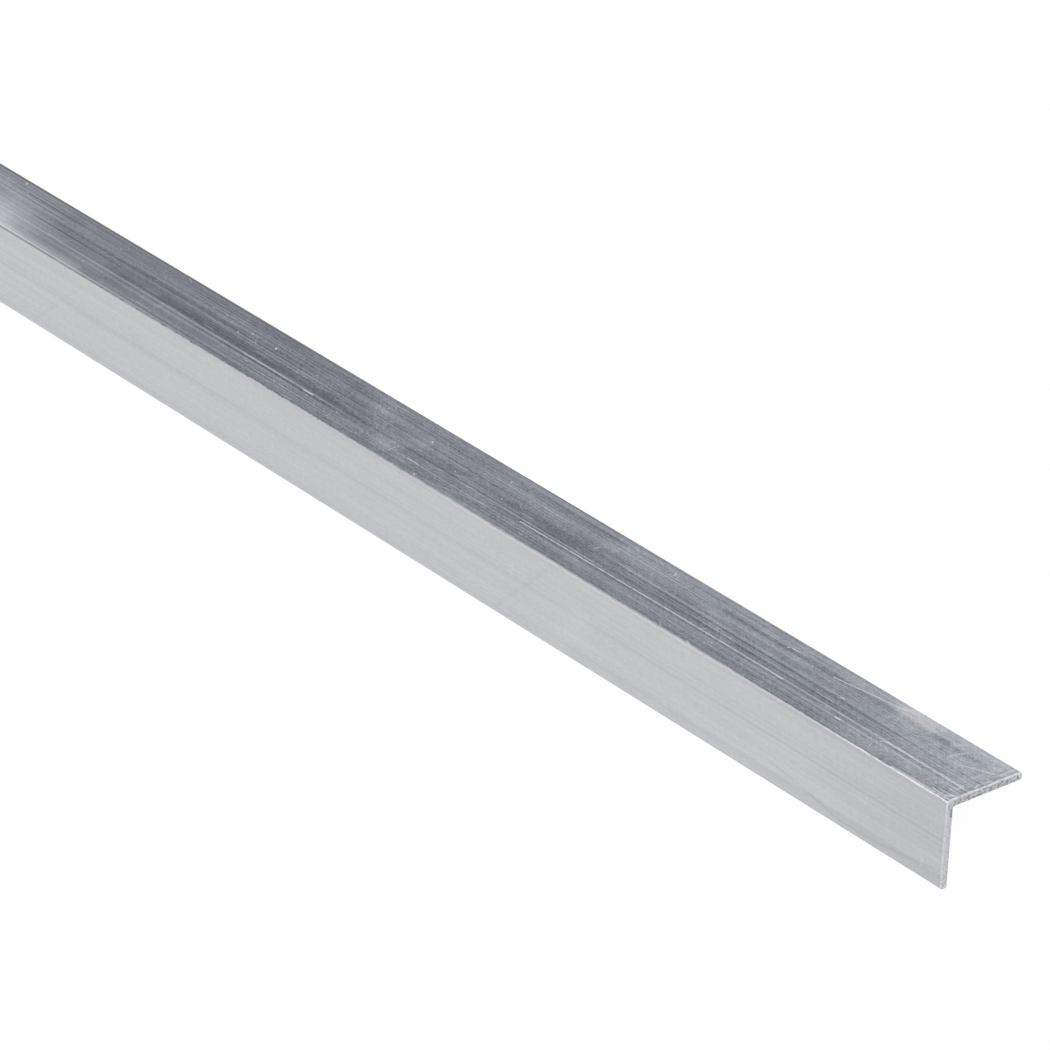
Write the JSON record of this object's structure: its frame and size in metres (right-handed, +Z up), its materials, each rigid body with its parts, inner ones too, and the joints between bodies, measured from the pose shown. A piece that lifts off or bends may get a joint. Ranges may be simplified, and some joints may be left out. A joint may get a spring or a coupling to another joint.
{
  "type": "angle section",
  "caption": "Length of plain aluminium angle bar: two equal flat legs meeting square at the heel, sawn square at both ends, for framing, edging and brackets.",
  "frame": {"origin": "floor level, midway along the bar, straight under the heel", "axes": "+X along the bar, +Y across it from toe to toe, +Z up through the heel; each leg slopes down at 45 degrees"},
  "size_m": [0.9144, 0.0264, 0.0142],
  "materials": {
    "mill_finish_aluminium": "mill finish, drawn lines along the length, light handling scratches"
  },
  "bodies": {
    "root": {"angle_section": "mill_finish_aluminium"}
  },
  "joints": []
}
